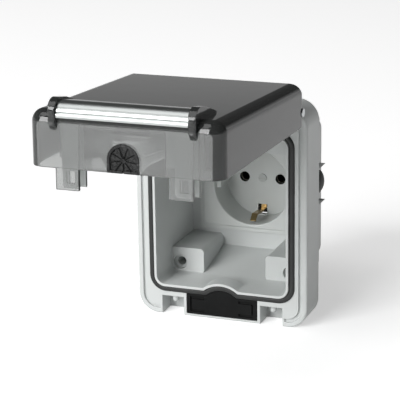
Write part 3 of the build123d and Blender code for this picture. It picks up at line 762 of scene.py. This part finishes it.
@dataclass
class MouthSeal:
    """The rubber seal round the mouth, swept along its channel with a rounded crown."""

    shop: Workshop
    mouth_width: float = 65.6
    mouth_height: float = 76.4
    mouth_corner: float = 4.1
    lip: float = 1.3
    width: float = 2.66
    channel: float = 2.7
    proud: float = 1.0
    seat: float = 3.0
    crown: float = 0.95
    crown_steps: int = 5
    arch_rise: float = 3.0
    arch_chord: float = 18.0
    corner_steps: int = 10
    arch_steps: int = 18

    def path(self) -> list[tuple[float, float]]:
        """Work out the seal's centreline: a rounded oblong with an arch in its foot.

        Returns:
            Points in X and Z, in millimetres, once round.
        """
        out = self.lip + self.channel / 2
        half_x = self.mouth_width / 2 + out
        half_z = self.mouth_height / 2 + out
        corner = self.mouth_corner + out
        radius = (self.arch_chord**2 / 4 + self.arch_rise**2) / (2 * self.arch_rise)
        centre = -self.mouth_height / 2 + self.arch_rise - radius
        arch = radius - out
        half_arch = math.acos((-half_z - centre) / arch)
        points = []
        for quarter, (sx, sz) in enumerate(((1, 1), (-1, 1), (-1, -1), (1, -1))):
            for step in range(self.corner_steps + 1):
                angle = (quarter + step / self.corner_steps) * math.pi / 2
                points.append(
                    (
                        sx * (half_x - corner) + corner * math.cos(angle),
                        sz * (half_z - corner) + corner * math.sin(angle),
                    )
                )
            # The arch follows the third corner, which is the foot's left one
            if quarter == 2:
                for step in range(self.arch_steps + 1):
                    angle = math.pi / 2 + half_arch * (1 - 2 * step / self.arch_steps)
                    points.append((arch * math.cos(angle), centre + arch * math.sin(angle)))
        return points

    def tree(self, material: bpy.types.Material) -> bpy.types.NodeTree:
        """Build the sweep: a rounded section along the path, stood up on the housing.

        Args:
            material: The seal's material.

        Returns:
            The node tree, with its section's sizes as inputs.
        """
        tree, given = opened_tree("seal_sweep", ("Width", "Height", "Crown", "Front"))
        upright = add(
            tree,
            "GeometryNodeSetCurveNormal",
            links={"Curve": given["Geometry"]},
            mode="Z_UP",
        )
        section = add(
            tree,
            "GeometryNodeCurvePrimitiveQuadrilateral",
            links={"Width": given["Width"], "Height": given["Height"]},
        )
        rounded = add(
            tree,
            "GeometryNodeFilletCurve",
            {"Count": self.crown_steps},
            {"Curve": section.outputs["Curve"], "Radius": given["Crown"]},
            mode="POLY",
        )
        swept = add(
            tree,
            "GeometryNodeCurveToMesh",
            links={"Curve": upright.outputs["Curve"], "Profile Curve": rounded.outputs["Curve"]},
        )
        shift = add(tree, "ShaderNodeCombineXYZ", links={"Y": given["Front"]})
        stood = add(
            tree,
            "GeometryNodeTransform",
            {"Rotation": (math.pi / 2, 0, 0)},
            {"Geometry": swept.outputs["Mesh"], "Translation": shift.outputs["Vector"]},
        )
        smooth = add(
            tree, "GeometryNodeSetShadeSmooth", links={"Geometry": stood.outputs["Geometry"]}
        )
        return closed_tree(tree, smooth.outputs["Geometry"], material)

    def build(self) -> None:
        """Sweep the seal and let it stand for the plain one."""
        piece = closed_line("mouth_seal", self.path())
        height = self.seat + self.proud
        middle = RIM_Y - self.proud + height / 2
        sizes = {
            "Width": self.width * MM,
            "Height": height * MM,
            "Crown": self.crown * MM,
            "Front": middle * MM,
        }
        apply_tree(piece, self.tree(SEAL_EPDM.material()), sizes)
        piece = self.shop.baked(piece)
        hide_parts("lid_seal")
        self.shop.finished(piece, SEAL_EPDM, Body.CASE)


@dataclass
class ScrewSet:
    """A set of slotted cheese-head screws, set out on points behind the socket."""

    shop: Workshop
    name: str
    node: str
    places: list[tuple[float, float]]
    seat_y: float
    radius: float
    height: float
    slot: float
    depth: float
    turn_seed: int = 3
    sides: int = 36
    cutter_reach: float = 3.0

    def tree(self, material: bpy.types.Material) -> bpy.types.NodeTree:
        """Build the screw's head and set one on every point, each turned by chance.

        Args:
            material: The screws' material.

        Returns:
            The node tree, with the head's sizes and the seed as inputs.
        """
        sizes = ("Radius", "Height", "Slot", "Depth")
        tree, given = opened_tree(self.name + "_layout", sizes, ("Seed",))
        head = add(
            tree,
            "GeometryNodeMeshCylinder",
            {"Vertices": self.sides},
            {"Radius": given["Radius"], "Depth": given["Height"]},
        )
        length = calculated(tree, "MULTIPLY", given["Radius"], self.cutter_reach)
        double = calculated(tree, "MULTIPLY", given["Depth"], 2.0)
        size = add(
            tree,
            "ShaderNodeCombineXYZ",
            links={"X": length, "Y": given["Slot"], "Z": double},
        )
        cutter = add(tree, "GeometryNodeMeshCube", links={"Size": size.outputs["Vector"]})
        half = calculated(tree, "MULTIPLY", given["Height"], 0.5)
        lift = add(tree, "ShaderNodeCombineXYZ", links={"Z": half})
        lifted = add(
            tree,
            "GeometryNodeTransform",
            links={"Geometry": cutter.outputs["Mesh"], "Translation": lift.outputs["Vector"]},
        )
        slotted = add(
            tree,
            "GeometryNodeMeshBoolean",
            links={"Mesh 1": head.outputs["Mesh"], "Mesh 2": lifted.outputs["Geometry"]},
            operation="DIFFERENCE",
        )
        turn = add(
            tree,
            "FunctionNodeRandomValue",
            {"Min": (0.0, 0.0, 0.0), "Max": (0.0, 0.0, math.pi)},
            {"Seed": given["Seed"]},
            data_type="FLOAT_VECTOR",
        )
        spread = add(
            tree,
            "GeometryNodeInstanceOnPoints",
            links={
                "Points": given["Geometry"],
                "Instance": slotted.outputs["Mesh"],
                "Rotation": turn.outputs[0],
            },
        )
        return closed_tree(tree, spread.outputs["Instances"], material)

    def build(self) -> None:
        """Set the screws out, stand them up to face the rear and round their edges."""
        mesh = bpy.data.meshes.new(self.name)
        mesh.from_pydata([(x * MM, z * MM, 0) for x, z in self.places], [], [])
        piece = placed(self.name, mesh)
        sizes = {
            "Radius": self.radius * MM,
            "Height": self.height * MM,
            "Slot": self.slot * MM,
            "Depth": self.depth * MM,
            "Seed": self.turn_seed,
        }
        apply_tree(piece, self.tree(ZINC_STEEL.material()), sizes)
        self.shop.baked(piece)
        # Local X, Y and Z become X, Z and the way to the rear
        stand = Matrix(((1, 0, 0, 0), (0, 0, 1, 0), (0, 1, 0, 0), (0, 0, 0, 1)))
        lift = Matrix.Translation((0, (self.seat_y + self.height / 2) * MM, 0))
        piece.data.transform(lift @ stand)
        piece.data.flip_normals()
        self.shop.rounded(piece, Edge.CRISP)
        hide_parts(self.node)
        self.shop.finished(piece, ZINC_STEEL, Body.CASE)


@dataclass
class SocketInsert:
    """The two-pin insert with its side earth clips, and the mechanism behind it."""

    shop: Workshop
    socket_z: float = 0.5
    terminal_x: float = 13.0
    terminal_z: float = 11.0
    terminal_seat: float = 58.4
    terminal_radius: float = 2.4
    terminal_height: float = 2.0
    terminal_slot: float = 0.9
    bracket_x: float = 26.0
    bracket_seat: float = 33.3
    bracket_radius: float = 2.4
    bracket_height: float = 1.6
    bracket_slot: float = 0.8
    slot_depth: float = 0.7
    pin_x: float = 9.5
    bore: float = 5.2
    bore_slack: float = 0.05
    bore_front: float = 12.0
    slope: float = 0.5

    def darken_bores(self, face: bpy.types.Object) -> None:
        """Paint the walls of the two pin bores near black, as painted shade of a deep, unlit hole.
        """
        face.data.materials.append(BORE_SHADE.material())
        reach = (self.bore / 2 + self.bore_slack) * MM
        for polygon in face.data.polygons:
            centre = polygon.center
            away = math.hypot(abs(centre.x) - self.pin_x * MM, centre.z - self.socket_z * MM)
            deep = centre.y > self.bore_front * MM
            if away < reach and deep and abs(polygon.normal.y) < self.slope:
                polygon.material_index = 1

    def darken_front(self, base: bpy.types.Object) -> None:
        """Paint the base's front, seen only through the earth window, near black as painted shade.
        """
        base.data.materials.append(BORE_SHADE.material())
        for polygon in base.data.polygons:
            if polygon.normal.y < -self.slope:
                polygon.material_index = 1

    def build(self) -> None:
        """Carry over the mouldings and pressings, and set out the screws."""
        shop = self.shop
        face = shop.carried_over("socket_face", "insert_face", Body.CASE, FACE_PA, Edge.CRISP)
        self.darken_bores(face)
        shop.carried_over("socket_frame", "insert_frame", Body.CASE, FACE_PA, Edge.CRISP)
        shop.carried_over("centre_screw", "face_screw", Body.CASE, SCREW_PA, Edge.CRISP)
        shop.carried_over("earth_clip", "earth_spring", Body.CASE, SPRING_BRASS, Edge.CRISP)
        for side in ("left", "right"):
            shop.carried_over(
                f"contact_{side}", f"pin_sleeve_{side}", Body.CASE, SLEEVE_BRASS_SHADED, Edge.NONE
            )
        base = shop.carried_over(
            "socket_base", "terminal_base", Body.CASE, BASE_UREA, Edge.MOULDED
        )
        self.darken_front(base)
        shop.carried_over("mounting_bracket", "steel_bracket", Body.CASE, ZINC_STEEL, Edge.CRISP)
        terminals = [
            (x, self.socket_z + z)
            for x in (-self.terminal_x, self.terminal_x)
            for z in (-self.terminal_z, self.terminal_z)
        ]
        ScrewSet(
            shop, "terminal_heads", "terminal_screws", terminals, self.terminal_seat,
            self.terminal_radius, self.terminal_height, self.terminal_slot, self.slot_depth,
        ).build()
        ScrewSet(
            shop, "bracket_heads", "bracket_screws",
            [(-self.bracket_x, self.socket_z), (self.bracket_x, self.socket_z)],
            self.bracket_seat, self.bracket_radius, self.bracket_height, self.bracket_slot,
            self.slot_depth,
        ).build()


def arc(
    start: tuple[float, float],
    middle: tuple[float, float],
    end: tuple[float, float],
    steps: int,
) -> list[tuple[float, float]]:
    """Set out points along the arc through three points.

    Args:
        start: Its first point.
        middle: A point on its way.
        end: Its last point.
        steps: How many equal parts it is cut into.

    Returns:
        The points, the first and last among them.
    """
    (ax, ay), (bx, by), (cx, cy) = start, middle, end
    twice = 2 * (ax * (by - cy) + bx * (cy - ay) + cx * (ay - by))
    a, b, c = ax * ax + ay * ay, bx * bx + by * by, cx * cx + cy * cy
    x = (a * (by - cy) + b * (cy - ay) + c * (ay - by)) / twice
    y = (a * (cx - bx) + b * (ax - cx) + c * (bx - ax)) / twice
    radius = math.hypot(ax - x, ay - y)
    first = math.atan2(ay - y, ax - x)
    turn = math.atan2(cy - y, cx - x) - first
    turn = (turn + math.pi) % (2 * math.pi) - math.pi
    angles = [first + turn * step / steps for step in range(steps + 1)]
    return [(x + radius * math.cos(angle), y + radius * math.sin(angle)) for angle in angles]


def on_open_lid(inward: float, outward: float) -> tuple[float, float]:
    """Find where a point of the shut lid's section is on the open lid.

    Args:
        inward: How far it lies in from the lid's foot end.
        outward: How far it stands out from the lid's rim.

    Returns:
        Its Y and Z with the lid open, in millimetres.
    """
    y = RIM_Y - outward - HINGE_Y
    z = FOOT_Z + inward - HINGE_Z
    cosine, sine = math.cos(OPEN_ANGLE), math.sin(OPEN_ANGLE)
    return HINGE_Y + y * cosine - z * sine, HINGE_Z + y * sine + z * cosine


@dataclass
class GripBar:
    """The grip bar: one extruded section with two fine grooves, drawn out along X.

    The section is set out in the shut lid's own plane: first how far a point lies in from the
    lid's foot, then how far it stands out from the rim.
    """

    shop: Workshop
    length: float = 57.6
    sheet: float = 1.4
    nose: tuple = ((-1.62, 21.9), (-1.58, 23.0), (-1.3, 24.0))
    brow: tuple = ((-1.3, 24.0), (0.6, 27.2), (4.8, 28.4))
    back: tuple[float, float] = (10.0, 27.6)
    grooves: tuple[float, ...] = (2.1, 4.25)
    groove_depth: float = 0.4
    groove_half: float = 0.45
    nose_steps: int = 8
    brow_steps: int = 48
    crease: float = math.radians(20)

    def section(self) -> list[tuple[float, float]]:
        """Work out the closed section: the outer curve with its grooves, and back inside."""
        brow = arc(*self.brow, self.brow_steps)
        line = arc(*self.nose, self.nose_steps) + brow[1:] + [self.back]
        outer, inner = [], []
        run = 0.0
        for index, (u, v) in enumerate(line):
            before = line[max(index - 1, 0)]
            after = line[min(index + 1, len(line) - 1)]
            run += math.dist(before, (u, v))
            along = math.dist(before, after)
            nu, nv = (after[1] - before[1]) / along, (before[0] - after[0]) / along
            near = min(abs(run - groove) for groove in self.grooves)
            dip = self.groove_depth * max(0.0, 1 - near / self.groove_half)
            outer.append((u + nu * dip, v + nv * dip))
            inner.append((u + nu * self.sheet, v + nv * self.sheet))
        return outer + inner[::-1]

    def tree(self, material: bpy.types.Material) -> bpy.types.NodeTree:
        """Build the extrusion: the section swept along a straight line, with closed ends."""
        tree, given = opened_tree("bar_extrusion", ("Half Length",))
        other = calculated(tree, "MULTIPLY", given["Half Length"], -1.0)
        left = add(tree, "ShaderNodeCombineXYZ", links={"X": other})
        right = add(tree, "ShaderNodeCombineXYZ", links={"X": given["Half Length"]})
        line = add(
            tree,
            "GeometryNodeCurvePrimitiveLine",
            links={"Start": left.outputs["Vector"], "End": right.outputs["Vector"]},
        )
        upright = add(
            tree,
            "GeometryNodeSetCurveNormal",
            links={"Curve": line.outputs["Curve"]},
            mode="Z_UP",
        )
        swept = add(
            tree,
            "GeometryNodeCurveToMesh",
            {"Fill Caps": True},
            {"Curve": upright.outputs["Curve"], "Profile Curve": given["Geometry"]},
        )
        return closed_tree(tree, swept.outputs["Mesh"], material)

    def build(self) -> None:
        """Draw the bar out and let it stand for the plain one."""
        places = [on_open_lid(*point) for point in self.section()]
        # The sweep along X turns the section's own X and Y to -Y and -Z
        piece = closed_line("fluted_grip", [(-y, -z) for y, z in places])
        apply_tree(piece, self.tree(BAR_ANODISED.material()), {"Half Length": self.length / 2 * MM})
        piece = self.shop.baked(piece)
        for polygon in piece.data.polygons:
            polygon.use_smooth = True
        piece.data.set_sharp_from_angle(angle=self.crease)
        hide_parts("grip_bar")
        self.shop.finished(piece, BAR_ANODISED, Body.LID)


@dataclass
class Lid:
    """The smoked lid with its grip bar, membrane and the pins it turns on."""

    shop: Workshop
    web_width: float = 12.2
    web_low: float = 1.0
    web_hub: float = 5.3
    web_steps: int = 24
    film_from: float = 0.95
    film_to: float = 1.45

    def build(self) -> None:
        """Carry over the lid's pieces."""
        shop = self.shop
        GripBar(shop).build()
        self.close_cuts()
        shop.carried_over("lid_shell", "smoked_shell", Body.LID, LID_POLYCARBONATE, Edge.CRISP)
        shop.carried_over("membrane_carrier", "membrane_frame", Body.LID, CARRIER_ABS, Edge.CRISP)
        shop.carried_over("cable_membrane", "slit_membrane", Body.LID, MEMBRANE_EPDM, Edge.CRISP)
        for side in ("left", "right"):
            shop.carried_over(
                f"hinge_pin_{side}", f"pin_{side}", Body.CASE, PIN_STEEL, Edge.CRISP
            )

    def web(self) -> list[tuple[float, float]]:
        """Set out the membrane's web in X and outward from the lid's rim: an arch on two legs."""
        half = self.web_width / 2
        outline = [(half, self.web_low)]
        for step in range(self.web_steps + 1):
            angle = math.pi * step / self.web_steps
            outline.append((half * math.cos(angle), self.web_hub + half * math.sin(angle)))
        return outline + [(-half, self.web_low)]

    def close_cuts(self) -> None:
        """Lay a film of rubber in the membrane, since its cuts lie shut until a cable comes."""
        shape = bmesh.new()
        rings = []
        for depth in (self.film_from, self.film_to):
            ring = []
            for x, outward in self.web():
                y, z = on_open_lid(depth, outward)
                ring.append(shape.verts.new((x * MM, y * MM, z * MM)))
            rings.append(ring)
        front, back = rings
        shape.faces.new(front)
        shape.faces.new(back[::-1])
        for index in range(len(front)):
            shape.faces.new((front[index], front[index - 1], back[index - 1], back[index]))
        bmesh.ops.recalc_face_normals(shape, faces=shape.faces)
        mesh = bpy.data.meshes.new("membrane_film")
        shape.to_mesh(mesh)
        shape.free()
        mesh.materials.append(PAD_EPDM.material())
        self.shop.finished(placed("membrane_film", mesh), PAD_EPDM, Body.LID)


@dataclass
class Studio:
    """The pale floor, the soft lamps and the camera that was fitted to the photograph."""

    floor_z: float = -54.0
    floor_size: float = 9000.0
    floor_colour: str = "#f0f0f0"
    floor_lift: float = 0.47
    backdrop: float = 1.0
    ceiling: float = 0.12
    backdrop_top: float = 0.04
    ceiling_from: float = 0.18
    focal_px: float = 1690.5
    frame_px: float = 400.0
    sensor: float = 36.0
    near: float = 10.0
    far: float = 20000.0
    camera_place: tuple[float, float, float] = (263.6, -740.4, 232.8)
    yaw: float = math.radians(20.79)
    pitch: float = math.radians(16.41)
    roll: float = math.radians(-0.89)
    lamps: list[tuple[str, tuple[float, float, float], float, float]] = field(
        default_factory=lambda: [
            ("key", (-1100.0, -2700.0, 1350.0), 1900.0, 112.0),
            ("top", (-1000.0, -850.0, 2700.0), 1800.0, 21.0),
        ]
    )

    def seen(self, tree: bpy.types.NodeTree) -> bpy.types.NodeSocket:
        """Give 1 for the camera's rays and those it gets back from metal or through glass."""
        path = add(tree, "ShaderNodeLightPath").outputs
        mirrored = calculated(tree, "MAXIMUM", path["Is Camera Ray"], path["Is Glossy Ray"])
        return calculated(tree, "MAXIMUM", mirrored, path["Is Transmission Ray"])

    def floor(self) -> None:
        """Lay the pale floor, lifted towards white where it is seen, with its shadow kept."""
        half = self.floor_size / 2 * MM
        z = self.floor_z * MM
        mesh = bpy.data.meshes.new("studio_floor")
        corners = [(-half, -half, z), (half, -half, z), (half, half, z), (-half, half, z)]
        mesh.from_pydata(corners, [], [(0, 1, 2, 3)])
        floor = placed("studio_floor", mesh)
        paper = bpy.data.materials.new("studio_paper")
        paper.use_nodes = True
        tree = paper.node_tree
        tree.nodes.clear()
        matt = add(tree, "ShaderNodeBsdfDiffuse", {"Color": linear(self.floor_colour)})
        share = calculated(tree, "MULTIPLY", self.seen(tree), self.floor_lift)
        glow = add(tree, "ShaderNodeEmission", links={"Strength": share})
        both = add(
            tree,
            "ShaderNodeAddShader",
            links={0: matt.outputs["BSDF"], 1: glow.outputs["Emission"]},
        )
        add(tree, "ShaderNodeOutputMaterial", links={"Surface": both.outputs["Shader"]})
        mesh.materials.append(paper)

    def world(self) -> None:
        """Stand a white backdrop all round, under a dim ceiling."""
        world = bpy.data.worlds.new("studio_room")
        world.use_nodes = True
        tree = world.node_tree
        tree.nodes.clear()
        way = add(tree, "ShaderNodeTexCoord")
        split = add(tree, "ShaderNodeSeparateXYZ", links={"Vector": way.outputs["Generated"]})
        limits = (self.backdrop_top, self.ceiling_from)
        level = ranged(tree, split.outputs["Z"], self.backdrop, self.ceiling, *limits)
        glow = add(tree, "ShaderNodeBackground", links={"Strength": level})
        add(tree, "ShaderNodeOutputWorld", links={"Surface": glow.outputs["Background"]})
        bpy.context.scene.world = world

    def light(self) -> None:
        """Hang the soft square lamps, each turned towards the socket."""
        for name, place, size, power in self.lamps:
            lamp = bpy.data.lights.new(name, "AREA")
            lamp.shape = "SQUARE"
            lamp.size = size * MM
            lamp.energy = power
            holder = placed(name, lamp)
            spot = Vector(place) * MM
            holder.location = spot
            holder.rotation_euler = (-spot).to_track_quat("-Z", "Y").to_euler()

    def camera(self) -> None:
        """Set up the camera at the photograph's place, with its long lens."""
        lens = bpy.data.cameras.new("camera")
        lens.sensor_width = self.sensor
        lens.lens = self.focal_px / self.frame_px * self.sensor
        lens.clip_start = self.near * MM
        lens.clip_end = self.far * MM
        forward = Vector(
            (
                -math.sin(self.yaw) * math.cos(self.pitch),
                math.cos(self.yaw) * math.cos(self.pitch),
                -math.sin(self.pitch),
            )
        )
        level = Vector((math.cos(self.yaw), math.sin(self.yaw), 0))
        above = level.cross(forward)
        right = level * math.cos(self.roll) + above * math.sin(self.roll)
        up = above * math.cos(self.roll) - level * math.sin(self.roll)
        holder = placed("camera", lens)
        turned = Matrix((right, up, -forward)).transposed().to_4x4()
        holder.matrix_world = Matrix.Translation(Vector(self.camera_place) * MM) @ turned
        bpy.context.scene.camera = holder

    def build(self) -> None:
        """Set up the floor, the room, the lamps and the camera."""
        self.floor()
        self.world()
        self.light()
        self.camera()
        bpy.context.scene.view_settings.view_transform = "Standard"


def main() -> None:
    """Build every sub-assembly around the frame, then the studio."""
    logging.basicConfig(level=logging.INFO, format="%(name)s: %(message)s")
    for thing in list(bpy.data.objects):
        bpy.data.objects.remove(thing)
    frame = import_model()
    shop = Workshop(frame)
    for assembly in (Housing(shop), MouthSeal(shop), SocketInsert(shop), Lid(shop), Studio()):
        LOG.info("building %s", type(assembly).__name__)
        assembly.build()


if __name__ == "__main__":
    main()
